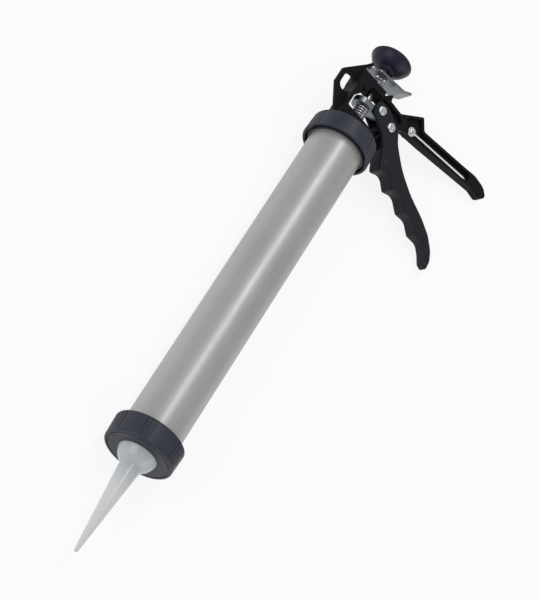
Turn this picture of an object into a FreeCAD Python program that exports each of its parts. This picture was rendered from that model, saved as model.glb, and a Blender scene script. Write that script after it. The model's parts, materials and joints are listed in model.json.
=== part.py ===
"""Closed-barrel caulking gun for bulk and foil-pack sealant, lying on its side.

An aluminium barrel has a screwed plastic ring at each end. The front ring holds a hollow
nozzle. The rear ring clamps a steel end plate, and the cast frame is screwed to that plate.
The frame carries the fixed handle, the trigger, the drive plates that grip the plunger rod,
the release plate and a puncture wire. The rod ends in a piston inside the barrel.

The gun is drawn about its own axis: s runs back from the front ring's face, h towards the
handle and w across the gun. The finished pieces are then rolled over to lie on the two rings
and the tip of the trigger, with +X forwards along the barrel and +Z up. Millimetres.
"""

import FreeCAD, Part
import os
from math import asin, atan, atan2, cos, degrees, hypot, pi, radians, sin, tan

Vector = FreeCAD.Vector

# Barrel
barrel_outer_r = 26.0
barrel_wall = 1.4
barrel_length = 367.0

# Ring caps
cap_length_front = 21.0
cap_length_rear = 19.4
cap_wall_front = 6.3
cap_wall_back = 7.1
cap_face = 3.0
cap_thread_clearance = 0.3
cap_edge_round = 1.5
cap_mouth_groove_depth = 4.5
cap_mouth_lip = 1.6
cap_mouth_groove_wall = 1.2
cap_face_groove_inset = 2.6
cap_face_groove_width = 0.9
cap_face_groove_depth = 0.7
grip_groups = 6
grip_grooves_per_group = 4
grip_groove_step_deg = 7.5
grip_groove_width = 1.4
grip_groove_depth = 0.4

# Nozzle
nozzle_hole_r = 18.5
nozzle_flange_thickness = 2.2
nozzle_dome_length = 12.5
nozzle_root_r = 9.8
nozzle_length = 101.0
nozzle_tip_r = 1.9
nozzle_wall = 1.5
nozzle_play = 0.3

# End plate and its screws
end_plate_thickness = 3.0
end_plate_play = 0.2
end_screw_count = 3
end_screw_circle_r = 13.0
end_screw_r = 2.0
end_screw_head_r = 4.0
end_screw_length = 8.5

# Frame
boss_r = 21.4
boss_length = 7.0
frame_to_cap_gap = 0.3
housing_half_width = 10.0
housing_top = 22.0
housing_bottom_rear = 8.0
housing_bottom_front = 20.0
housing_length = 66.1
rear_corner_chamfer = 1.3
front_block_length = 23.2
rear_wall = 8.5
hang_plate_thickness = 3.0
hang_top = 38.2
hang_slot_length = 18.6
hang_slot_width = 12.0
hang_slot_from_top = 4.6
web_half_width = 5.0
web_thickness = 3.0
rim_front = 2.8
rim_rear = 3.2
web_edge_round = 0.8

# Fixed handle, as distances along the gun and out from its axis
handle_tip_h = 156.5

# Trigger
trigger_half_width = 8.3
fork_gap = 0.3
fork_step = 0.5
trigger_edge_round = 2.2
trigger_taper_start_h = 66.0
trigger_taper_past_tip = 4.6
trigger_tip_half_width = 3.6
trigger_tip_h = 143.4
pivot_before_back = 22.3
pivot_h = 32.1
pivot_r = 3.0
drive_pin_behind_pivot = 5.4
drive_pin_h = 15.5
drive_pin_r = 2.5
rivet_head_r = 4.5
rivet_head_height = 1.7
rivet_dimple_share = 0.42
rivet_dimple_depth = 0.6
running_clearance = 0.08
fixed_clearance = 0.04

# Drive plates and their spring
drive_plate_thickness = 2.9
drive_plate_half_width = 8.7
drive_plate_top = 12.0
drive_plate_shoulder = 5.0
drive_tail_half_width = 4.6
drive_plate_bottom = 20.0
drive_tilt_deg = 4.0
drive_pin_gap = 0.3
plate_bore_clearance = 0.4
drive_spring_r = 6.2
drive_spring_wire_r = 0.85
drive_spring_turns = 5
spring_end_gap = 0.2

# Plunger rod, knob and piston
rod_r = 3.5
rod_thread_r = 3.0
piston_front_s = 22.5
piston_length = 12.0
piston_play = 0.4
piston_skirt_wall = 2.4
piston_skirt_depth = 6.5
seal_width = 4.0
seal_depth = 1.6
seal_play = 0.3
washer_r = 11.0
washer_thickness = 1.4
nut_across_flats = 10.0
nut_thickness = 5.0
thread_stub = 1.5
knob_behind_housing = 34.4
knob_r = 20.3
knob_half_thickness = 4.6
knob_neck_r = 8.6
knob_neck_length = 3.0
knob_front_depth = 11.2
knob_cover = 3.0

# Release plate and its spring
release_thickness = 2.0
release_half_width = 10.0
release_neck_half_width = 4.6
release_bead_r = 1.15
release_behind_housing = 8.9
release_pivot_h = -16.2
release_slot_play = 1.2
release_end_h = 31.2
release_spring_r = 5.6
release_spring_wire_r = 0.8
release_spring_turns = 3

# Puncture wire and its rivet
wire_r = 0.9
wire_length = 74.0
wire_eye_r = 4.4
wire_eye_half_thickness = 0.6
wire_rivet_before_back = 6.3
wire_rivet_h = 53.3
wire_rivet_r = 2.0
wire_head_r = 3.5
wire_head_gap = 0.2
wire_lift = 0.3
wire_boss_r = 3.8

# What follows from the sizes above
barrel_inner_r = barrel_outer_r - barrel_wall
barrel_front_s = cap_face + nozzle_flange_thickness + end_plate_play
barrel_back_s = barrel_front_s + barrel_length
end_plate_front_s = barrel_back_s + end_plate_play
end_plate_back_s = end_plate_front_s + end_plate_thickness
rear_cap_back_s = end_plate_back_s + cap_face + 1.2
rear_cap_front_s = rear_cap_back_s - cap_length_rear
housing_front_s = end_plate_back_s
body_front_s = rear_cap_back_s + frame_to_cap_gap
housing_back_s = housing_front_s + housing_length
window_front_s = housing_front_s + front_block_length
window_back_s = housing_back_s - rear_wall
pivot_s = housing_back_s - pivot_before_back
drive_pin_s = pivot_s + drive_pin_behind_pivot
wire_rivet_s = housing_back_s - wire_rivet_before_back
release_pivot_s = housing_back_s + release_behind_housing
knob_centre_s = housing_back_s + knob_behind_housing
fork_inner = web_half_width + fork_gap
rod_bore_r = rod_r + running_clearance
cap_bore_r = barrel_outer_r + cap_thread_clearance
cap_rim_r_front = barrel_outer_r + cap_wall_front
cap_rim_r_back = barrel_outer_r + cap_wall_back
cap_mouth_groove_inner_r = cap_bore_r + cap_mouth_lip
cap_face_groove_r = barrel_outer_r + cap_face_groove_inset
wire_w = web_half_width + wire_lift + wire_r


def at(s, h, w=0.0):
    """A point given by its place back along the gun, towards the handle and across."""
    return Vector(-s, h, w)


def path_edges(start, steps, place):
    """Edges from start: a step of one point is a line, one of two points an arc through the first."""
    edges = []
    here = place(*start)
    for step in steps:
        if isinstance(step[0], tuple):
            middle = place(*step[0])
            there = place(*step[1])
            edges.append(Part.Arc(here, middle, there).toShape())
        else:
            there = place(*step)
            edges.append(Part.LineSegment(here, there).toShape())
        here = there
    return edges


def closed_face(start, steps, place):
    """A flat face inside a closed outline of lines and arcs."""
    edges = path_edges(start, steps + [start], place)
    return Part.Face(Part.Wire(edges))


def rounded(points):
    """Start and steps of an outline whose corners (s, h, radius) are rounded by tangent arcs."""
    count = len(points)
    pieces = []
    for i in range(count):
        before = points[i - 1]
        corner = points[i]
        after = points[(i + 1) % count]
        radius = corner[2]
        to_before = hypot(before[0] - corner[0], before[1] - corner[1])
        to_after = hypot(after[0] - corner[0], after[1] - corner[1])
        u = ((before[0] - corner[0]) / to_before, (before[1] - corner[1]) / to_before)
        v = ((after[0] - corner[0]) / to_after, (after[1] - corner[1]) / to_after)
        cosine = max(-1.0, min(1.0, u[0] * v[0] + u[1] * v[1]))
        half = 0.5 * (pi - atan2((1 - cosine * cosine) ** 0.5, cosine))
        if radius == 0 or half < 0.01:
            pieces.append([corner[:2]])
            continue
        reach = min(radius * tan(half), 0.48 * to_before, 0.48 * to_after)
        radius = reach / tan(half)
        bisector = (u[0] + v[0], u[1] + v[1])
        size = hypot(*bisector)
        far = radius / cos(half) - radius
        middle = (corner[0] + bisector[0] / size * far, corner[1] + bisector[1] / size * far)
        first = (corner[0] + u[0] * reach, corner[1] + u[1] * reach)
        last = (corner[0] + v[0] * reach, corner[1] + v[1] * reach)
        pieces.append([first, middle, last])
    start = pieces[0][-1]
    steps = []
    for piece in pieces[1:] + pieces[:1]:
        steps.append(piece[0])
        if len(piece) == 3:
            steps.append((piece[1], piece[2]))
    return start, steps


def rounded_slab(points, w_low, w_high):
    """A slab across the gun whose outline has rounded corners."""
    start, steps = rounded(points)
    edges = path_edges(start, steps, lambda s, h: at(s, h, w_low))
    return Part.Face(Part.Wire(edges)).extrude(Vector(0, 0, w_high - w_low))


def turned(start, steps):
    """A solid of revolution about the gun's axis from an outline of (s, r)."""
    face = closed_face(start, steps, lambda s, r: at(s, r))
    return face.revolve(Vector(0, 0, 0), Vector(1, 0, 0), 360)


def rod_between(s_front, s_back, radius, h=0.0, w=0.0):
    """A round bar parallel to the gun's axis."""
    return Part.makeCylinder(radius, s_back - s_front, at(s_back, h, w), Vector(1, 0, 0))


def cross_pin(s, h, radius, w_low, w_high):
    """A round bar across the gun."""
    return Part.makeCylinder(radius, w_high - w_low, at(s, h, w_low), Vector(0, 0, 1))


def block(s_front, s_back, h_low, h_high, w_low, w_high):
    """A plain block between two places along each direction."""
    return Part.makeBox(s_back - s_front, h_high - h_low, w_high - w_low, at(s_back, h_low, w_low))


def domed_head(s, h, w_seat, height, radius, side):
    """A rivet's domed head with a dimple, which stands out from w_seat to one side."""
    seat = Vector(0, 0, 0)
    edge_height = 0.35 * height
    floor = height - rivet_dimple_depth
    dimple_r = rivet_dimple_share * radius
    outline = [
        Part.LineSegment(seat, Vector(radius, 0, 0)).toShape(),
        Part.LineSegment(Vector(radius, 0, 0), Vector(radius, 0, edge_height)).toShape(),
        Part.Arc(Vector(radius, 0, edge_height), Vector(0.8 * radius, 0, 0.82 * height),
                 Vector(1.15 * dimple_r, 0, height)).toShape(),
        Part.LineSegment(Vector(1.15 * dimple_r, 0, height), Vector(0.7 * dimple_r, 0, floor)).toShape(),
        Part.LineSegment(Vector(0.7 * dimple_r, 0, floor), Vector(0, 0, floor)).toShape(),
        Part.LineSegment(Vector(0, 0, floor), seat).toShape(),
    ]
    head = Part.Face(Part.Wire(outline)).revolve(seat, Vector(0, 0, 1), 360)
    if side < 0:
        head.rotate(seat, Vector(1, 0, 0), 180)
    head.translate(at(s, h, w_seat))
    return head


def coil_spring(s_front, s_back, coil_r, wire_radius, turns):
    """A compression spring round the rod, as one swept wire."""
    height = s_back - s_front - 2 * wire_radius
    pitch = height / turns
    helix = Part.makeHelix(pitch, height, coil_r)
    tangent = Vector(0, 2 * pi * coil_r, pitch)
    section = Part.Wire(Part.makeCircle(wire_radius, Vector(coil_r, 0, 0), tangent))
    spring = Part.Wire(helix).makePipeShell([section], True, True)
    spring.rotate(Vector(0, 0, 0), Vector(0, 1, 0), 90)
    spring.translate(at(s_back - wire_radius, 0))
    return spring


def grip_grooves(ends):
    """Narrow grooves along a ring cap, in evenly spaced groups, from two points (s, surface r)."""
    cutters = []
    half = grip_groove_width / 2
    floor = [(s, r - grip_groove_depth) for s, r in ends]
    above = [(s, cap_rim_r_back + 1) for s, r in reversed(ends)]
    for group in range(grip_groups):
        for i in range(grip_grooves_per_group):
            offset = (i - (grip_grooves_per_group - 1) / 2) * grip_groove_step_deg
            corners = [at(s, r, -half) for s, r in floor + above + floor[:1]]
            cutter = Part.Face(Part.makePolygon(corners)).extrude(Vector(0, 0, 2 * half))
            cutter.rotate(Vector(0, 0, 0), Vector(1, 0, 0), group * 360 / grip_groups + offset)
            cutters.append(cutter)
    return cutters


def make_barrel():
    """The plain tube."""
    tube = rod_between(barrel_front_s, barrel_back_s, barrel_outer_r)
    return tube.cut(rod_between(barrel_front_s - 1, barrel_back_s + 1, barrel_inner_r))


def ring_cap(face_s, mouth_s, length, face_thickness, hole_r):
    """A screw ring: its face at face_s with a hole in it, its open mouth towards mouth_s."""
    way = 1 if mouth_s > face_s else -1

    def along(distance):
        return face_s + way * distance

    rim = cap_edge_round
    groove_outer_r = cap_rim_r_front - grip_groove_depth - cap_mouth_groove_wall
    start = (along(0), hole_r)
    steps = [
        (along(0), cap_face_groove_r),
        (along(cap_face_groove_depth), cap_face_groove_r),
        (along(cap_face_groove_depth), cap_face_groove_r + cap_face_groove_width),
        (along(0), cap_face_groove_r + cap_face_groove_width),
        (along(0), cap_rim_r_front - rim),
        ((along(0.3 * rim), cap_rim_r_front - 0.3 * rim), (along(rim), cap_rim_r_front)),
        (along(length - 0.8), cap_rim_r_back),
        ((along(length - 0.25), cap_rim_r_back - 0.25), (along(length), cap_rim_r_back - 0.8)),
        (along(length), groove_outer_r),
        (along(length - cap_mouth_groove_depth), groove_outer_r),
        (along(length - cap_mouth_groove_depth), cap_mouth_groove_inner_r),
        (along(length), cap_mouth_groove_inner_r),
        (along(length), cap_bore_r),
        (along(face_thickness), cap_bore_r),
        (along(face_thickness), hole_r),
    ]
    ring = turned(start, steps)
    slope = (cap_rim_r_back - cap_rim_r_front) / (length - rim)
    ends = [(along(x), cap_rim_r_front + slope * (x - rim)) for x in (rim + 0.6, length - 1.4)]
    for cutter in grip_grooves(ends):
        ring = ring.cut(cutter)
    return ring


def make_front_cap():
    """The ring that holds the nozzle."""
    return ring_cap(0.0, cap_length_front, cap_length_front, cap_face, nozzle_hole_r)


def make_rear_cap():
    """The ring that clamps the end plate against the barrel."""
    return ring_cap(rear_cap_back_s, rear_cap_front_s, cap_length_rear,
                    rear_cap_back_s - end_plate_back_s, boss_r + 0.6)


def make_nozzle():
    """The hollow nozzle: a flange, a dome that fills the ring's hole and a long cone."""
    flange_r = barrel_outer_r - 0.2
    flange_back = cap_face + nozzle_flange_thickness
    dome_r = nozzle_hole_r - nozzle_play
    root_s = -nozzle_dome_length
    wall = nozzle_wall
    start = (flange_back, dome_r - wall)
    steps = [
        (flange_back, flange_r),
        (cap_face, flange_r),
        (cap_face, dome_r),
        (-0.6, dome_r),
        ((0.42 * root_s, 0.62 * dome_r + 0.38 * nozzle_root_r + 1.2), (root_s, nozzle_root_r)),
        (-nozzle_length + 0.5, nozzle_tip_r),
        (-nozzle_length, nozzle_tip_r - 0.3),
        (-nozzle_length, nozzle_tip_r - 1.0),
        (-nozzle_length + 1.0, nozzle_tip_r - 0.9),
        (root_s, nozzle_root_r - wall),
        ((0.40 * root_s, 0.62 * (dome_r - wall) + 0.38 * (nozzle_root_r - wall) + 1.2),
         (0.0, dome_r - wall)),
    ]
    return turned(start, steps)


def end_screw_places():
    """Where the end plate's screws sit, as (h, w)."""
    places = []
    for i in range(end_screw_count):
        angle = radians(180 + i * 360 / end_screw_count)
        places.append((end_screw_circle_r * cos(angle), end_screw_circle_r * sin(angle)))
    return places


def countersunk(h, w, radius, head_r):
    """One countersunk screw through the end plate, its head flush with the front face."""
    depth = head_r - radius
    screw = rod_between(end_plate_front_s, end_plate_front_s + end_screw_length, radius, h, w)
    cone = Part.makeCone(radius, head_r, depth, at(end_plate_front_s + depth, h, w), Vector(1, 0, 0))
    return screw.fuse(cone).removeSplitter()


def make_end_plate():
    """The steel disc that the frame is screwed to."""
    plate = rod_between(end_plate_front_s, end_plate_back_s, barrel_outer_r - 0.1)
    plate = plate.cut(rod_between(end_plate_front_s - 1, end_plate_back_s + 1, rod_r + 0.5))
    for h, w in end_screw_places():
        plate = plate.cut(countersunk(h, w, end_screw_r + fixed_clearance,
                                      end_screw_head_r + fixed_clearance))
    return plate


def make_end_screws():
    """The countersunk screws, with a plain cross slot in each head."""
    screws = []
    for h, w in end_screw_places():
        screw = countersunk(h, w, end_screw_r, end_screw_head_r)
        for size_h, size_w in ((2.4, 0.35), (0.35, 2.4)):
            slot = block(end_plate_front_s - 1, end_plate_front_s + 1.1,
                         h - size_h, h + size_h, w - size_w, w + size_w)
            screw = screw.cut(slot)
        screws.append(screw)
    return Part.makeCompound(screws)


def handle_outline():
    """The web and fixed handle seen from the side, as corners (s, h, radius)."""
    front = housing_front_s
    back = housing_back_s
    return [
        (body_front_s, 2.0, 0),
        (back, 2.0, 0),
        (back, 11.5, 2),
        (back + 7.0, 17.6, 0.8),
        (back + 6.0, 18.9, 0.8),
        (back + 0.6, 19.6, 1.6),
        (back - 0.4, 35.0, 3),
        (back + 3.6, 40.0, 4),
        (back + 17.4, 57.2, 1.6),
        (back + 6.5, 65.6, 3),
        (back + 10.3, 90.7, 60),
        (back + 14.2, 117.0, 60),
        (back + 17.5, handle_tip_h - 20.5, 14),
        (back + 15.9, handle_tip_h - 6.5, 12),
        (back + 8.8, handle_tip_h + 1.5, 5),
        (back + 3.3, handle_tip_h - 4.1, 4),
        (back + 4.8, handle_tip_h - 14.7, 5),
        (back - 2.0, 103.0, 60),
        (back - 7.8, 70.4, 60),
        (back - 10.8, 48.4, 8),
        (pivot_s + 7.0, pivot_h + 8.2, 6),
        (pivot_s - 5.0, pivot_h + 8.8, 6),
        (pivot_s - 13.5, pivot_h - 3.4, 8),
        (front + 20.0, 26.5, 8),
        (front + 8.0, 25.0, 4),
        (body_front_s, housing_bottom_front, 0),
    ]


def handle_pocket():
    """The hollow on each side of the handle's web."""
    back = housing_back_s
    return [
        (back - 7.6, 49.0, 2),
        (back - 1.5, 43.5, 2),
        (back + 2.2, 42.8, 2),
        (back + 13.2, 56.6, 1.2),
        (back + 3.0, 64.0, 3),
        (back + 10.3 - rim_rear, 91.2, 60),
        (back + 16.2 - rim_rear, handle_tip_h - 26.5, 2),
        (back + 6.3, handle_tip_h - 24.5, 2),
        (back - 2.0 + rim_front, 102.7, 60),
        (back - 7.8 + rim_front, 70.0, 60),
    ]


def upper_pocket():
    """The narrow hollow in front of the frame's rear rim, above the handle."""
    back = housing_back_s
    return [
        (back - 11.6, 13.0, 1),
        (back - 3.9, 10.6, 1),
        (back - 3.9, 35.6, 1.5),
        (back - 8.0, 41.2, 1.5),
        (back - 11.6, 36.5, 1),
    ]


def front_pocket():
    """The hollow in the web between the end plate and the trigger's pivot."""
    return [
        (housing_front_s + 10.0, 18.0, 1.5),
        (window_front_s + 3.0, 18.8, 0.5),
        (pivot_s - 11.0, 25.0, 2),
        (pivot_s - 13.0, 26.4, 2),
        (housing_front_s + 18.0, 22.2, 1.5),
    ]


def hang_plate_outline():
    """The flat tab with the hanging slot, and the hook over the release plate."""
    back = housing_back_s
    return [
        (body_front_s, -housing_top + 3.0, 0),
        (housing_front_s + 9.5, -housing_top + 1.3, 0),
        (back - 28.9, -hang_top, 1.5),
        (back - 12.6, -hang_top, 1.5),
        (back + 10.8, -19.9, 2),
        (back + 17.0, -16.2, 1),
        (back + 16.2, -13.8, 0.6),
        (back + 13.2, -14.2, 0.8),
        (back + 8.2, -18.6, 2),
        (back - 2.0, -18.4, 0),
    ]


def window_outline():
    """The opening through the housing in which the drive plates move."""
    web_top = 21.0
    return [
        (window_front_s, -housing_top + 3.6, 1.5),
        (window_front_s + 16.6, -housing_top + 3.6, 0.6),
        (window_front_s + 17.0, -16.2, 0.6),
        (window_front_s + 22.8, -13.3, 0.5),
        (window_front_s + 23.8, -15.8, 0.6),
        (window_front_s + 26.8, -15.8, 1),
        (window_front_s + 26.8, -9.0, 1),
        (window_back_s, -7.2, 1),
        (window_back_s, housing_bottom_rear + 1.0, 0),
        (window_back_s - 1.0, web_top, 2),
        (window_front_s, web_top, 2),
    ]


def make_frame():
    """The casting: housing, hanging tab, web, fixed handle and the boss behind the end plate."""
    half = housing_half_width
    boss = rod_between(housing_front_s, housing_front_s + boss_length, boss_r)
    housing = block(body_front_s, housing_back_s, -housing_top, housing_bottom_rear, -half, half)
    front_block = block(body_front_s, window_front_s, -housing_top, housing_bottom_front, -half, half)
    body = housing.fuse(front_block)
    for side in (-1, 1):
        corner = rounded_corner_cutter(side)
        body = body.cut(corner)
    tab = rounded_slab(hang_plate_outline(), -hang_plate_thickness / 2, hang_plate_thickness / 2)
    web = rounded_slab(handle_outline(), -web_half_width, web_half_width)
    web = web.makeFillet(web_edge_round, [edge for edge in web.Edges if not crosses_the_gun(edge)])
    frame = body.fuse([boss, tab, web])
    frame = frame.cut(rounded_slab(window_outline(), -half - 1, half + 1))
    for pocket in (handle_pocket(), upper_pocket(), front_pocket()):
        for side in (-1, 1):
            low = min(side * web_thickness / 2, side * (web_half_width + 1))
            cutter = rounded_slab(pocket, low, low + web_half_width + 1 - web_thickness / 2)
            frame = frame.cut(cutter)
    frame = frame.fuse(cross_pin(wire_rivet_s, wire_rivet_h, wire_boss_r,
                                 -web_half_width, web_half_width))
    slot_s = housing_back_s - 21.0
    slot_h = -hang_top + hang_slot_from_top + hang_slot_width / 2
    reach = hang_slot_length / 2 - hang_slot_width / 2
    slot = block(slot_s - reach, slot_s + reach, slot_h - hang_slot_width / 2,
                 slot_h + hang_slot_width / 2, -half, half)
    for end in (-reach, reach):
        slot = slot.fuse(cross_pin(slot_s + end, slot_h, hang_slot_width / 2, -half, half))
    frame = frame.cut(slot)
    frame = frame.cut(rod_between(housing_front_s - 1, housing_back_s + 20, rod_bore_r))
    frame = frame.cut(cross_pin(pivot_s, pivot_h, pivot_r + fixed_clearance, -half, half))
    frame = frame.cut(cross_pin(wire_rivet_s, wire_rivet_h, wire_rivet_r + fixed_clearance, -half, half))
    for h, w in end_screw_places():
        frame = frame.cut(rod_between(housing_front_s - 1, end_plate_front_s + end_screw_length + 0.5,
                                      end_screw_r + fixed_clearance, h, w))
    return frame.removeSplitter()


def crosses_the_gun(edge):
    """Whether an edge runs straight across the gun."""
    first, last = (vertex.Point for vertex in edge.Vertexes)
    return abs(first.z - last.z) > 0.01


def rounded_corner_cutter(side):
    """What is cut off the housing's rear corner on one side."""
    half = housing_half_width
    back = housing_back_s
    corners = [
        at(back - rear_corner_chamfer, -housing_top - 1, side * half),
        at(back + 1, -housing_top - 1, side * (half - rear_corner_chamfer - 1)),
        at(back + 1, -housing_top - 1, side * (half + 1)),
        at(back - rear_corner_chamfer, -housing_top - 1, side * (half + 1)),
    ]
    face = Part.Face(Part.makePolygon(corners + corners[:1]))
    return face.extrude(Vector(0, housing_top + housing_bottom_front + 2, 0))


def in_grip(corners):
    """Corners given in hundredths of the trigger's reach ahead of and below its pivot, with radius."""
    unit = (trigger_tip_h - pivot_h) / 100
    return [(pivot_s - ahead * unit, pivot_h + below * unit, radius) for ahead, below, radius in corners]


def trigger_outline():
    """The trigger seen from the side, as corners (s, h, radius), with four finger hollows."""
    grip = in_grip([
        (20.58, 30.46, 80),
        (31.00, 49.69, 80),
        (37.15, 69.69, 80),
        (43.86, 84.71, 30),
        (52.16, 94.37, 20),
        (59.75, 98.92, 10),
        (69.43, 99.64, 3.2),
        (67.43, 93.35, 3.2),
        (59.75, 87.96, 12),
        (53.91, 82.03, 9),
        (54.27, 71.79, 2.8),
        (46.27, 62.62, 9),
        (47.17, 52.38, 2.8),
        (37.73, 41.06, 9),
        (41.87, 31.18, 2.8),
        (32.88, 21.65, 9),
        (37.92, 11.59, 2.8),
    ])
    fork_back = [
        (drive_pin_s - 7.2, drive_pin_h - 8.6, 8),
        (drive_pin_s + 7.6, drive_pin_h - 8.6, 8),
        (drive_pin_s + 8.8, drive_pin_h + 4.0, 10),
        (pivot_s + 8.6, pivot_h + 0.5, 10),
        (pivot_s + 4.5, pivot_h + 8.6, 5),
        (pivot_s - 6.8, pivot_h + 15.9, 30),
    ]
    fork_front = [
        (pivot_s - 31.4, pivot_h + 7.1, 6),
        (pivot_s - 20.6, pivot_h + 2.8, 10),
        (pivot_s - 14.2, pivot_h - 2.8, 20),
        (pivot_s - 7.0, pivot_h - 14.1, 20),
    ]
    return fork_back + grip + fork_front


def trigger_width_slab():
    """The trigger seen from the front, its sides curving in towards the tip, along the gun."""
    half = trigger_half_width
    start_h = trigger_taper_start_h
    end_h = trigger_tip_h + trigger_taper_past_tip
    drop = half - trigger_tip_half_width
    middle_h = (start_h + end_h) / 2
    start = (-10.0, -half)
    steps = [
        (start_h, -half),
        ((middle_h, drop / 4 - half), (end_h, drop - half)),
        (end_h, half - drop),
        ((middle_h, half - drop / 4), (start_h, half)),
        (-10.0, half),
    ]
    face = closed_face(start, steps, lambda h, w: at(pivot_s + trigger_tip_h, h, w))
    return face.extrude(Vector(2 * trigger_tip_h, 0, 0))


def lies_along_a_side(edge):
    """Whether an edge of the trigger runs round one of its two sides."""
    if len(edge.Vertexes) < 2:
        return False
    first, last = (vertex.Point for vertex in edge.Vertexes)
    taper_line = abs(first.y - last.y) < 0.01 and abs(first.y - trigger_taper_start_h) < 0.01
    return abs(first.z - last.z) < trigger_tip_half_width and not taper_line


def trigger_hollow():
    """The gap inside the trigger, open towards the handle, as corners (s, h, radius)."""
    inner = in_grip([
        (-27.49, 88.86, 0),
        (51.57, 88.86, 3),
        (44.03, 68.19, 20),
        (38.27, 50.22, 20),
        (33.24, 34.05, 20),
        (30.01, 21.47, 10),
        (29.11, 11.59, 4),
    ])
    open_back = inner[0][0]
    fork_front = [
        (pivot_s - 26.4, pivot_h + 7.5, 3),
        (pivot_s - 19.4, pivot_h - 1.1, 0),
        (pivot_s - 19.4, -5.0, 0),
        (open_back, -5.0, 0),
    ]
    return inner + fork_front


def make_trigger():
    """The trigger casting: a fork round the frame's web above, a hollow finger grip below."""
    half = trigger_half_width
    trigger = rounded_slab(trigger_outline(), -half, half).common(trigger_width_slab())
    long_edges = [edge for edge in trigger.Edges if lies_along_a_side(edge)]
    trigger = trigger.makeFillet(trigger_edge_round, long_edges)
    trigger = trigger.cut(rounded_slab(trigger_hollow(), -fork_inner, fork_inner))
    for side in (-1, 1):
        low = min(side * (half - fork_step), side * (half + 1))
        shelf = rounded_slab([
            (pivot_s - 22.0, pivot_h + 2.0, 0),
            (pivot_s - 22.0, -5.0, 0),
            (pivot_s + 20.0, -5.0, 0),
            (pivot_s + 20.0, pivot_h + 30.0, 0),
        ], low, low + fork_step + 1)
        trigger = trigger.cut(shelf)
    trigger = trigger.cut(cross_pin(pivot_s, pivot_h, pivot_r + running_clearance, -half - 1, half + 1))
    trigger = trigger.cut(cross_pin(drive_pin_s, drive_pin_h, drive_pin_r + fixed_clearance,
                                    -half - 1, half + 1))
    return trigger


def through_rivet(s, h, radius, seat_w, head_r, head_height):
    """A rivet across the gun with a domed head at each side."""
    shank = cross_pin(s, h, radius, -seat_w, seat_w)
    heads = [domed_head(s, h, side * seat_w, head_height, head_r, side) for side in (-1, 1)]
    return shank.fuse(heads).removeSplitter()


def make_pivot_rivet():
    """The rivet that the trigger turns on, held in the frame's web."""
    return through_rivet(pivot_s, pivot_h, pivot_r, trigger_half_width - fork_step + 0.15,
                         rivet_head_r, rivet_head_height)


def make_drive_rivet():
    """The rivet across the fork that pushes the drive plates."""
    return through_rivet(drive_pin_s, drive_pin_h, drive_pin_r, trigger_half_width - fork_step,
                         rivet_head_r, rivet_head_height)


def drive_plate(front_offset):
    """One gripping plate; front_offset is its front face's distance ahead of the stack's back."""
    stack_back_s = drive_pin_s - drive_pin_r - drive_pin_gap
    head = drive_plate_half_width
    tail = drive_tail_half_width
    top = drive_plate_top
    bottom = drive_plate_bottom
    start = (-head, drive_plate_shoulder)
    steps = [
        (-head, -top + head),
        ((0.0, -top), (head, -top + head)),
        (head, drive_plate_shoulder),
        (tail, drive_plate_shoulder + 1.0),
        (tail, bottom - tail),
        ((0.0, bottom), (-tail, bottom - tail)),
        (-tail, drive_plate_shoulder + 1.0),
    ]
    front_s = stack_back_s - front_offset
    face = closed_face(start, steps, lambda w, h: at(front_s, h, w))
    plate = face.extrude(Vector(-drive_plate_thickness, 0, 0))
    plate.rotate(at(stack_back_s, drive_pin_h), Vector(0, 0, 1), drive_tilt_deg)
    return plate.cut(rod_between(front_s - 10, front_s + 20, rod_r + plate_bore_clearance))


def make_drive_plate_front():
    """The front gripping plate."""
    return drive_plate(2 * drive_plate_thickness)


def make_drive_plate_rear():
    """The rear gripping plate, which the drive rivet pushes."""
    return drive_plate(drive_plate_thickness)


def drive_spring_back():
    """Where the drive spring ends: the front plate's face, nearest point on the coil."""
    face_s = drive_pin_s - drive_pin_r - drive_pin_gap - 2 * drive_plate_thickness
    reach = drive_spring_r + drive_spring_wire_r - drive_pin_h
    return face_s - reach * tan(radians(drive_tilt_deg)) - 1.6


def make_drive_spring():
    """The spring between the housing's front block and the drive plates."""
    return coil_spring(window_front_s + spring_end_gap, drive_spring_back() - spring_end_gap,
                       drive_spring_r, drive_spring_wire_r, drive_spring_turns)


def make_rod():
    """The plunger rod, turned down in front for the piston and its nut."""
    shoulder_s = piston_front_s + piston_length + washer_thickness
    nut_front_s = piston_front_s + piston_skirt_depth - washer_thickness - nut_thickness
    front_s = nut_front_s - thread_stub
    back_s = knob_centre_s + knob_half_thickness - knob_cover
    start = (front_s, 0.0)
    steps = [
        (front_s, rod_thread_r - 0.5),
        (front_s + 0.5, rod_thread_r),
        (shoulder_s, rod_thread_r),
        (shoulder_s, rod_r),
        (back_s, rod_r),
        (back_s, 0.0),
    ]
    return turned(start, steps)


def make_knob():
    """The round pull knob on the rod's end, domed towards the gun, on a short neck."""
    centre = knob_centre_s
    half = knob_half_thickness
    front = centre - knob_front_depth - knob_neck_length
    back_s = centre + half
    start = (front, 0.0)
    steps = [
        (front, knob_neck_r - 0.8),
        (front + 0.8, knob_neck_r),
        (centre - knob_front_depth, knob_neck_r),
        ((centre - 0.64 * knob_front_depth, 0.77 * knob_r), (centre - 0.22 * half, 0.975 * knob_r)),
        ((centre, knob_r), (centre + 0.22 * half, 0.975 * knob_r)),
        ((centre + 0.74 * half, 0.66 * knob_r), (back_s, 0.08 * knob_r)),
        (back_s, 0.0),
    ]
    knob = turned(start, steps)
    socket = rod_between(front - 1, back_s - knob_cover + 0.1, rod_r + fixed_clearance)
    return knob.cut(socket)


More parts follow.
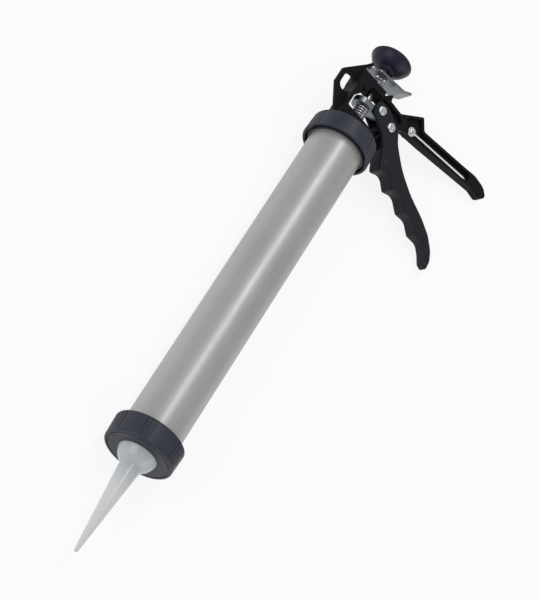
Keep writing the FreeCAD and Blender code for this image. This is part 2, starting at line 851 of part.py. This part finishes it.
def make_piston():
    """The moulded piston: a disc with a front skirt and a groove for its seal."""
    outer = barrel_inner_r - piston_play
    front = piston_front_s
    back = front + piston_length
    floor = front + piston_skirt_depth
    groove_front = front + 0.5 * (piston_length - seal_width)
    start = (floor, rod_thread_r + fixed_clearance)
    steps = [
        (floor, outer - piston_skirt_wall - 3.0),
        (front, outer - piston_skirt_wall),
        (front, outer - 0.8),
        (front + 0.8, outer),
        (groove_front, outer),
        (groove_front, outer - seal_depth),
        (groove_front + seal_width, outer - seal_depth),
        (groove_front + seal_width, outer),
        (back - 1.0, outer),
        (back, outer - 1.0),
        (back, rod_thread_r + fixed_clearance),
    ]
    return turned(start, steps)


def make_seal():
    """The rubber ring in the piston's groove."""
    outer = barrel_inner_r - seal_play
    inner = barrel_inner_r - piston_play - seal_depth
    front = piston_front_s + 0.5 * (piston_length - seal_width) + fixed_clearance
    back = front + seal_width - 2 * fixed_clearance
    middle = 0.5 * (front + back)
    start = (front, inner + fixed_clearance)
    steps = [
        (front, inner + seal_depth - 0.5),
        ((middle, outer), (back, inner + seal_depth - 0.5)),
        (back, inner + fixed_clearance),
    ]
    return turned(start, steps)


def washer(front_s):
    """A plain washer on the rod's thread."""
    disc = rod_between(front_s, front_s + washer_thickness, washer_r)
    return disc.cut(rod_between(front_s - 1, front_s + washer_thickness + 1,
                                rod_thread_r + fixed_clearance))


def make_front_washer():
    """The washer between the nut and the piston's floor."""
    return washer(piston_front_s + piston_skirt_depth - washer_thickness)


def make_rear_washer():
    """The washer between the piston and the rod's shoulder."""
    return washer(piston_front_s + piston_length)


def make_nut():
    """The hexagon nut that holds the piston."""
    back_s = piston_front_s + piston_skirt_depth - washer_thickness
    front_s = back_s - nut_thickness
    corner_r = nut_across_flats / 2 / cos(radians(30))
    corners = []
    for i in range(7):
        angle = radians(60 * i)
        corners.append(at(back_s, corner_r * cos(angle), corner_r * sin(angle)))
    nut = Part.Face(Part.makePolygon(corners)).extrude(Vector(nut_thickness, 0, 0))
    cone = Part.makeCone(corner_r + 2.6, corner_r - 0.6, nut_thickness, at(back_s, 0), Vector(1, 0, 0))
    nut = nut.common(cone)
    return nut.cut(rod_between(front_s - 1, back_s + 1, rod_thread_r + fixed_clearance))


def make_release_plate():
    """The bent thumb plate behind the frame, with an oblong hole for the rod."""
    t = release_thickness
    back = release_pivot_s
    centre_line = [
        (back, release_pivot_h),
        (back + 2.2, release_pivot_h + 5.4),
        (back + 6.2, 22.8),
        (back + 11.4, release_end_h),
    ]
    front_side = []
    back_side = []
    for i, (s, h) in enumerate(centre_line):
        before = centre_line[max(i - 1, 0)]
        after = centre_line[min(i + 1, len(centre_line) - 1)]
        size = hypot(after[0] - before[0], after[1] - before[1])
        across = ((after[1] - before[1]) / size, -(after[0] - before[0]) / size)
        front_side.append((s - across[0] * t / 2, h - across[1] * t / 2, 2.0 if 0 < i < 3 else 0.4))
        back_side.append((s + across[0] * t / 2, h + across[1] * t / 2, 2.0 if 0 < i < 3 else 0.4))
    strip = rounded_slab(front_side + back_side[::-1], -release_half_width, release_half_width)
    neck = release_neck_half_width
    wide = release_half_width
    top = release_pivot_h - 3.0
    shoulder = release_pivot_h + 5.0
    low = release_end_h + 2.0
    face_corners = [
        (-neck, top, 0), (neck, top, 0), (neck, shoulder - 1.0, 1), (wide, shoulder + 2.6, 2.5),
        (wide, low - 4.0, 1.5), (wide - 2.0, low, 0), (-wide + 2.0, low, 0), (-wide, low - 4.0, 1.5),
        (-wide, shoulder + 2.6, 2.5), (-neck, shoulder - 1.0, 1),
    ]
    start, steps = rounded(face_corners)
    edges = path_edges(start, steps, lambda w, h: at(release_pivot_s + 20.0, h, w))
    shape = Part.Face(Part.Wire(edges)).extrude(Vector(30, 0, 0))
    bead = cross_pin(release_pivot_s, release_pivot_h, release_bead_r, -neck, neck)
    plate = strip.common(shape).fuse(bead).removeSplitter()
    slot_half_w = rod_r + 0.4
    slot = rod_between(release_pivot_s - 5, release_pivot_s + 12, slot_half_w, release_slot_play)
    slot = slot.fuse(rod_between(release_pivot_s - 5, release_pivot_s + 12, slot_half_w,
                                 -release_slot_play))
    slot = slot.fuse(block(release_pivot_s - 5, release_pivot_s + 12, -release_slot_play,
                           release_slot_play, -slot_half_w, slot_half_w))
    return plate.cut(slot)


def make_release_spring():
    """The spring that holds the release plate back."""
    plate_s = release_pivot_s + 2.2 - release_thickness / 2
    return coil_spring(housing_back_s + spring_end_gap, plate_s + 0.2, release_spring_r,
                       release_spring_wire_r, release_spring_turns)


def make_puncture_wire():
    """The steel wire for piercing nozzles, folded along the handle, with a flat eye."""
    target_s = housing_back_s + 4.1
    target_h = handle_tip_h - 29.5
    run_s = target_s - wire_rivet_s
    run_h = target_h - wire_rivet_h
    size = hypot(run_s, run_h)
    way = Vector(-run_s / size, run_h / size, 0)
    root = at(wire_rivet_s, wire_rivet_h, wire_w) + way * (wire_head_r + wire_head_gap)
    shank_length = wire_length - wire_eye_r - 2.4
    shank = Part.makeCylinder(wire_r, shank_length, root, way)
    point = Part.makeCone(wire_r, 0.35, 3.0, root + way * shank_length, way)
    eye = cross_pin(wire_rivet_s, wire_rivet_h, wire_eye_r,
                    wire_w - wire_eye_half_thickness, wire_w + wire_eye_half_thickness)
    wire = eye.fuse([shank, point]).removeSplitter()
    return wire.cut(cross_pin(wire_rivet_s, wire_rivet_h, wire_rivet_r + running_clearance,
                              wire_w - 5, wire_w + 5))


def make_wire_rivet():
    """The rivet that the puncture wire swings on."""
    seat = wire_w + wire_eye_half_thickness + 0.1
    shank = cross_pin(wire_rivet_s, wire_rivet_h, wire_rivet_r, -web_half_width, seat)
    near = domed_head(wire_rivet_s, wire_rivet_h, seat, rivet_head_height, wire_head_r, 1)
    far = domed_head(wire_rivet_s, wire_rivet_h, -web_half_width, rivet_head_height, wire_head_r, -1)
    return shank.fuse([near, far]).removeSplitter()


def roll_to_touch(h, w):
    """The roll, in degrees, that brings a point beside the handle down level with the rings."""
    reach = hypot(h, w)
    return degrees(asin(cap_rim_r_back / reach) - atan(-w / h))


def lay_down(shape, roll):
    """Turn a piece from the gun's own frame to how the gun lies."""
    laid = shape.copy()
    laid.rotate(Vector(0, 0, 0), Vector(1, 0, 0), -roll)
    return laid


makers = {
    "barrel": make_barrel,
    "front_ring_cap": make_front_cap,
    "nozzle": make_nozzle,
    "rear_ring_cap": make_rear_cap,
    "end_plate": make_end_plate,
    "end_plate_screws": make_end_screws,
    "frame_and_handle": make_frame,
    "trigger": make_trigger,
    "trigger_pivot_rivet": make_pivot_rivet,
    "drive_rivet": make_drive_rivet,
    "drive_plate_front": make_drive_plate_front,
    "drive_plate_rear": make_drive_plate_rear,
    "drive_spring": make_drive_spring,
    "plunger_rod": make_rod,
    "pull_knob": make_knob,
    "piston": make_piston,
    "piston_seal": make_seal,
    "piston_washer_front": make_front_washer,
    "piston_washer_rear": make_rear_washer,
    "piston_nut": make_nut,
    "release_plate": make_release_plate,
    "release_spring": make_release_spring,
    "puncture_wire": make_puncture_wire,
    "puncture_wire_rivet": make_wire_rivet,
}

shapes = {name: make() for name, make in makers.items()}
roll = min(roll_to_touch(trigger_tip_h, -trigger_tip_half_width),
           roll_to_touch(handle_tip_h, -web_half_width))
for correction in range(2):
    lows = [lay_down(shapes[name], roll).optimalBoundingBox(False).ZMin
            for name in ("trigger", "frame_and_handle")]
    roll += degrees(asin((min(lows) + cap_rim_r_back) / trigger_tip_h))
laid_shapes = {name: lay_down(shape, roll) for name, shape in shapes.items()}
box = FreeCAD.BoundBox()
for shape in laid_shapes.values():
    box.add(shape.optimalBoundingBox(False))
shift = Vector(-box.Center.x, -box.Center.y, -box.ZMin)


def in_row(s, h, w=0.0):
    """A point of the gun's own frame, in the finished part's frame."""
    angle = radians(roll)
    return Vector(-s, h * cos(angle) + w * sin(angle), w * cos(angle) - h * sin(angle)) + shift


os.makedirs("parts", exist_ok=True)
for name, shape in laid_shapes.items():
    shape.translate(shift)
    shape.exportStep(os.path.join("parts", name + ".step"))
    good = shape.isValid() and all(solid.isClosed() for solid in shape.Solids)
    print(f"{name:22s} solids {len(shape.Solids)}  volume {shape.Volume:10.1f}  valid {good}")

print(f"roll {roll:.3f} degrees, size {box.XLength:.1f} x {box.YLength:.1f} x {box.ZLength:.1f}")
for label, point in {
    "axis_front": in_row(0, 0),
    "trigger_pivot": in_row(pivot_s, pivot_h),
    "release_pivot": in_row(release_pivot_s, release_pivot_h),
    "wire_pivot": in_row(wire_rivet_s, wire_rivet_h, wire_w),
}.items():
    print(f"{label} {point.x:.4f} {point.y:.4f} {point.z:.4f}")
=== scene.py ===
"""Looks, lights and camera for the closed-barrel caulking gun."""

import json

import bpy
from mathutils import Matrix, Vector


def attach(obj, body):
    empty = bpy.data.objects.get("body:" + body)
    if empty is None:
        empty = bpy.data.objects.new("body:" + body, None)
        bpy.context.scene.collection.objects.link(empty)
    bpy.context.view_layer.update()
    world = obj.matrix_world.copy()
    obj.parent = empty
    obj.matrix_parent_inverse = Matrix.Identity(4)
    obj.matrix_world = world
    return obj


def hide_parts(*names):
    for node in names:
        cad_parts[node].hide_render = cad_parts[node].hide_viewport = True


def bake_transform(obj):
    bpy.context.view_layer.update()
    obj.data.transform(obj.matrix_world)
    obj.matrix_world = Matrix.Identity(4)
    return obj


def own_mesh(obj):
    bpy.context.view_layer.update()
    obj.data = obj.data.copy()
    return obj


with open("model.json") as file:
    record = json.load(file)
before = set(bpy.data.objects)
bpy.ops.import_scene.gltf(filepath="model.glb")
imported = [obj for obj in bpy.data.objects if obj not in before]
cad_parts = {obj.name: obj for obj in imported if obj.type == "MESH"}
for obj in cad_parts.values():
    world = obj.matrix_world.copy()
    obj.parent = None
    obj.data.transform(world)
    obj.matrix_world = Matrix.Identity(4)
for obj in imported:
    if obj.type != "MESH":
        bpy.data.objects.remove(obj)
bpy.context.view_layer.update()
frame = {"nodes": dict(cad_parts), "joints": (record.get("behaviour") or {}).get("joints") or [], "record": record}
nodes = frame["nodes"]
joints = {joint["name"]: joint for joint in frame["joints"]}

# The barrel's front end on its axis, and the gun's own directions: back, towards the handle and across
origin = Vector(joints["ring_turn"]["pos_m"])
across = Vector(joints["trigger_squeeze"]["axis"])
back = Vector((-1.0, 0.0, 0.0))
handle_way = across.cross(Vector((1.0, 0.0, 0.0)))

# Camera, at the photograph's place. Distances in millimetres, seen from the camera
focal_px = 2407.9
frame_long_side_px = 600
sensor_mm = 36.0
barrel_front_in_view = Vector((-109.20, 127.86, 1984.99))
back_in_view = Vector((0.46473, -0.72957, 0.50175))
handle_in_view = Vector((0.63189, 0.67021, 0.38927))
across_in_view = Vector((0.62028, -0.13614, -0.77247))


def view_axis(i):
    """The camera's right (0), down (1) or forward (2) direction in the row frame."""
    way = back * back_in_view[i] + handle_way * handle_in_view[i] + across * across_in_view[i]
    return way.normalized()


right, down, forward = (view_axis(i) for i in range(3))
offset = barrel_front_in_view / 1000
camera_place = origin - (right * offset.x + down * offset.y + forward * offset.z)
rotation = Matrix((right, -down, -forward)).transposed()
camera = bpy.data.objects.new("camera", bpy.data.cameras.new("camera"))
camera.data.lens = focal_px / frame_long_side_px * sensor_mm
camera.data.sensor_width = sensor_mm
camera.data.clip_start = 0.1
camera.data.clip_end = 50
camera.matrix_world = Matrix.Translation(camera_place) @ rotation.to_4x4()
bpy.context.scene.collection.objects.link(camera)
bpy.context.scene.camera = camera

# Looks. The levels of a noise between which its two values blend, and how much lighter cloudy plating gets
cloud_low = 0.3
cloud_high = 0.7
plating_contrast = 1.12


def new_material(name):
    """A material with its node tree, the main shader and a small maker of further nodes."""
    made = bpy.data.materials.new(name)
    made.use_nodes = True
    tree = made.node_tree
    shader = tree.nodes["Principled BSDF"]

    def add(kind, **settings):
        node = tree.nodes.new(kind)
        for key, value in settings.items():
            if key in node.inputs:
                node.inputs[key].default_value = value
            else:
                setattr(node, key, value)
        return node

    return made, tree, shader, add


def noise_at(tree, add, scale, stretch=(1.0, 1.0, 1.0), detail=4.0):
    """Noise in the part's own coordinates, in metres."""
    place = add("ShaderNodeTexCoord")
    mapping = add("ShaderNodeMapping")
    mapping.inputs["Scale"].default_value = stretch
    noise = add("ShaderNodeTexNoise", Scale=scale, Detail=detail)
    tree.links.new(place.outputs["Object"], mapping.inputs["Vector"])
    tree.links.new(mapping.outputs["Vector"], noise.inputs["Vector"])
    return noise.outputs["Fac"]


def ramp(tree, add, source, low, high, low_value, high_value):
    """A smooth change of value or colour between two levels of a source."""
    node = add("ShaderNodeValToRGB")
    node.color_ramp.elements[0].position = low
    node.color_ramp.elements[1].position = high
    for element, value in zip(node.color_ramp.elements, (low_value, high_value)):
        if isinstance(value, tuple):
            element.color = (*value, 1)
        else:
            element.color = (value, value, value, 1)
    tree.links.new(source, node.inputs["Fac"])
    return node.outputs["Color"]


def clouded(tree, add, clouds, dark, light):
    """The usual soft change between two values or colours over a noise."""
    return ramp(tree, add, clouds, cloud_low, cloud_high, dark, light)


def bump(tree, add, shader, source, strength, distance):
    """Surface relief from a source, with height given in metres."""
    node = add("ShaderNodeBump", Strength=strength, Distance=distance)
    tree.links.new(source, node.inputs["Height"])
    tree.links.new(node.outputs["Normal"], shader.inputs["Normal"])


def barrel_metal():
    """Satin silver tube with faint drawing lines along its length."""
    made, tree, shader, add = new_material("barrel_metal")
    lines = noise_at(tree, add, 900, (0.02, 1.0, 1.0), 3.0)
    clouds = noise_at(tree, add, 14)
    silver = clouded(tree, add, clouds, (0.385, 0.385, 0.378), (0.43, 0.43, 0.422))
    tree.links.new(silver, shader.inputs["Base Color"])
    tree.links.new(ramp(tree, add, lines, 0.25, 0.75, 0.36, 0.46), shader.inputs["Roughness"])
    shader.inputs["Metallic"].default_value = 0.45
    bump(tree, add, shader, lines, 0.06, 0.0002)
    return made


def moulded_plastic(name, dark, light, rough_low, rough_high, grain_height, specular=0.35):
    """Dark moulded plastic with a fine matt grain and slight unevenness."""
    made, tree, shader, add = new_material(name)
    clouds = noise_at(tree, add, 60)
    grain = noise_at(tree, add, 2600, detail=2.0)
    tree.links.new(clouded(tree, add, clouds, dark, light), shader.inputs["Base Color"])
    tree.links.new(clouded(tree, add, clouds, rough_low, rough_high), shader.inputs["Roughness"])
    shader.inputs["Specular IOR Level"].default_value = specular
    bump(tree, add, shader, grain, 0.25, grain_height)
    return made


def black_casting(name, plain, rub_and_glint_tone, rough_low, rough_high, specular):
    """Black paint on a casting, with an uneven skin and a few light spots, partly rubs in the paint and partly
    painted highlights on scratches.
    """
    made, tree, shader, add = new_material(name)
    skin = noise_at(tree, add, 220, detail=5.0)
    rub_and_glint_spots = noise_at(tree, add, 95, (1.0, 0.5, 1.0), 6.0)
    # Lighter spots in the colour: partly worn paint, partly painted highlights standing in for glints on scratches
    tree.links.new(ramp(tree, add, rub_and_glint_spots, 0.66, 0.76, plain, rub_and_glint_tone), shader.inputs["Base Color"])
    tree.links.new(clouded(tree, add, skin, rough_low, rough_high), shader.inputs["Roughness"])
    shader.inputs["Specular IOR Level"].default_value = specular
    bump(tree, add, shader, skin, 0.35, 0.0006)
    return made


def zinc(name, tint, rough_low, rough_high):
    """Bright plated steel, a little cloudy."""
    made, tree, shader, add = new_material(name)
    clouds = noise_at(tree, add, 160, detail=4.0)
    lighter = tuple(min(1.0, c * plating_contrast) for c in tint)
    tree.links.new(clouded(tree, add, clouds, tint, lighter), shader.inputs["Base Color"])
    tree.links.new(clouded(tree, add, clouds, rough_low, rough_high), shader.inputs["Roughness"])
    shader.inputs["Metallic"].default_value = 1.0
    bump(tree, add, shader, clouds, 0.12, 0.0003)
    return made


def nozzle_plastic(dome_x, cone_x):
    """Milky plastic, greyer in the thick dome and lighter on the thin cone, blended between two x."""
    made, tree, shader, add = new_material("nozzle_plastic")
    clouds = noise_at(tree, add, 45)
    place = add("ShaderNodeTexCoord")
    split = add("ShaderNodeSeparateXYZ")
    tree.links.new(place.outputs["Object"], split.inputs["Vector"])
    along = add("ShaderNodeMath", operation="MULTIPLY_ADD")
    along.inputs[1].default_value = 1 / (cone_x - dome_x)
    along.inputs[2].default_value = -dome_x / (cone_x - dome_x)
    tree.links.new(split.outputs["X"], along.inputs[0])
    milk = ramp(tree, add, along.outputs["Value"], 0.0, 1.0, (0.45, 0.485, 0.515), (0.63, 0.635, 0.635))
    tree.links.new(milk, shader.inputs["Base Color"])
    tree.links.new(clouded(tree, add, clouds, 0.08, 0.12), shader.inputs["Roughness"])
    shader.inputs["Subsurface Weight"].default_value = 0.12
    shader.inputs["Subsurface Radius"].default_value = (0.004, 0.004, 0.004)
    shader.inputs["Subsurface Scale"].default_value = 1.0
    return made


# The nozzle's grey blends to white between two places measured back from its tip, in metres
nozzle_tip_x = max(corner[0] for corner in nodes["nozzle"].bound_box)
dome_to_tip = 0.088
cone_length = 0.06

# One look for each material slot of the record
slot_materials = {
    "barrel_metal": barrel_metal(),
    "ring_plastic": moulded_plastic("ring_plastic", (0.021, 0.024, 0.037), (0.031, 0.034, 0.051),
                                    0.40, 0.52, grain_height=0.00006),
    "knob_plastic": moulded_plastic("knob_plastic", (0.010, 0.011, 0.024), (0.014, 0.015, 0.032),
                                    0.28, 0.36, grain_height=0.00003, specular=0.22),
    "nozzle_plastic": nozzle_plastic(nozzle_tip_x - dome_to_tip, nozzle_tip_x - cone_length),
    "piston_plastic": moulded_plastic("piston_plastic", (0.62, 0.62, 0.59), (0.70, 0.70, 0.67),
                                      0.4, 0.5, grain_height=0.00005),
    "black_casting": black_casting("black_casting", (0.009, 0.009, 0.011), (0.03, 0.03, 0.034),
                                   0.46, 0.6, specular=0.08),
    "zinc_steel": zinc("zinc_steel", (0.40, 0.42, 0.44), 0.22, 0.36),
    "spring_steel": zinc("spring_steel", (0.42, 0.43, 0.45), 0.18, 0.30),
    "seal_rubber": moulded_plastic("seal_rubber", (0.012, 0.012, 0.012), (0.02, 0.02, 0.02),
                                   0.6, 0.75, grain_height=0.00004),
}
for part in frame["record"]["subparts"]:
    mesh = nodes[part["node"]].data
    mesh.materials.clear()
    mesh.materials.append(slot_materials[part["material_slot"]])

# Pieces that differ in the photograph from others of their slot
trigger_paint = black_casting("trigger_paint", (0.013, 0.015, 0.020), (0.05, 0.052, 0.058),
                              0.42, 0.58, specular=0.18)
# A darker copy of the zinc for the plates, which is painted shade on the same plating
painted_shade_zinc = zinc("painted_shade_zinc", (0.22, 0.235, 0.25), 0.3, 0.44)
# Lighter copies of the zinc for the rivets and for the wire, which are painted light on the same plating
painted_light_zinc = zinc("painted_light_zinc", (0.58, 0.60, 0.62), 0.24, 0.36)
painted_light_wire_zinc = zinc("painted_light_wire_zinc", (0.75, 0.76, 0.78), 0.3, 0.4)
own_looks = {
    "trigger": trigger_paint,
    # The plates take the zinc copy with painted shade
    "release_plate": painted_shade_zinc,
    "drive_plate_front": painted_shade_zinc,
    "drive_plate_rear": painted_shade_zinc,
    # The rivets and the wire take the zinc copies with painted light
    "trigger_pivot_rivet": painted_light_zinc,
    "drive_rivet": painted_light_zinc,
    "puncture_wire_rivet": painted_light_zinc,
    "puncture_wire": painted_light_wire_zinc,
}
for name, look in own_looks.items():
    nodes[name].data.materials[0] = look


def springy(name):
    """A copy of a spring that stands for its node, which is hidden."""
    coil = bpy.data.objects.new(name + "_coil", nodes[name].data.copy())
    bpy.context.scene.collection.objects.link(coil)
    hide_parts(name)
    return coil


# The drive spring's copy goes with the gun's body, with a mesh of its own; its front end stays where it is
drive_coil = springy("drive_spring")
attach(drive_coil, "gun_body")
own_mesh(drive_coil)

# The release spring's front end sits on the frame; its copy keeps its place, baked into its mesh
release_coil = springy("release_spring")
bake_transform(release_coil)

# White floor
floor_reach = 6.0
floor_glow_share = 0.86


def floor_paint():
    """White paint that also glows where the camera or a reflection looks at it, and keeps the shadow."""
    made, tree, shader, add = new_material("floor_paint")
    shader.inputs["Roughness"].default_value = 0.9
    clouds = noise_at(tree, add, 3)
    white = clouded(tree, add, clouds, (0.90, 0.90, 0.90), (0.92, 0.92, 0.92))
    tree.links.new(white, shader.inputs["Base Color"])
    glow = add("ShaderNodeEmission", Color=(1, 1, 1, 1), Strength=1.0)
    light_path = add("ShaderNodeLightPath")
    seen = add("ShaderNodeMath", operation="ADD")
    tree.links.new(light_path.outputs["Is Camera Ray"], seen.inputs[0])
    tree.links.new(light_path.outputs["Is Glossy Ray"], seen.inputs[1])
    seen_through = add("ShaderNodeMath", operation="ADD", use_clamp=True)
    tree.links.new(seen.outputs["Value"], seen_through.inputs[0])
    tree.links.new(light_path.outputs["Is Transmission Ray"], seen_through.inputs[1])
    share = add("ShaderNodeMath", operation="MULTIPLY")
    share.inputs[1].default_value = floor_glow_share
    tree.links.new(seen_through.outputs["Value"], share.inputs[0])
    blend = add("ShaderNodeMixShader")
    tree.links.new(share.outputs["Value"], blend.inputs["Fac"])
    tree.links.new(shader.outputs["BSDF"], blend.inputs[1])
    tree.links.new(glow.outputs["Emission"], blend.inputs[2])
    tree.links.new(blend.outputs["Shader"], tree.nodes["Material Output"].inputs["Surface"])
    return made


floor_mesh = bpy.data.meshes.new("floor")
floor_corners = [(x * floor_reach, y * floor_reach, 0) for x, y in ((-1, -1), (1, -1), (1, 1), (-1, 1))]
floor_mesh.from_pydata(floor_corners, [], [(0, 1, 2, 3)])
floor_mesh.materials.append(floor_paint())
floor = bpy.data.objects.new("floor", floor_mesh)
bpy.context.scene.collection.objects.link(floor)

# World and lamps
sky_strength = 0.5
world = bpy.data.worlds.new("studio")
world.use_nodes = True
sky = world.node_tree.nodes["Background"]
sky.inputs["Color"].default_value = (1.0, 1.0, 1.0, 1)
sky.inputs["Strength"].default_value = sky_strength
bpy.context.scene.world = world

# Place that the lamps look at, in metres back along the gun and towards the handle
middle = origin + back * 0.2 + handle_way * 0.02


def softbox(name, toward, distance, width, length, power):
    """A soft lamp along the barrel, its way from the gun given as the camera's right, down and nearer."""
    lamp = bpy.data.lights.new(name, "AREA")
    lamp.shape = "RECTANGLE"
    lamp.size = width
    lamp.size_y = length
    lamp.energy = power
    made = bpy.data.objects.new(name, lamp)
    way = (right * toward[0] + down * toward[1] - forward * toward[2]).normalized()
    long_way = (back - way * back.dot(way)).normalized()
    turn = Matrix((long_way.cross(way), long_way, way)).transposed()
    made.matrix_world = Matrix.Translation(middle + way * distance) @ turn.to_4x4()
    bpy.context.scene.collection.objects.link(made)


# The narrow strip draws the bright line along the barrel
softbox("strip", (0.58, -0.65, 0.49), distance=1.9, width=0.26, length=1.6, power=10)
softbox("key", (-0.5, -0.25, 0.83), distance=2.0, width=1.4, length=1.4, power=12)
softbox("fill", (0.55, 0.8, 0.3), distance=2.0, width=1.2, length=1.6, power=8)

bpy.context.scene.view_settings.view_transform = "Standard"
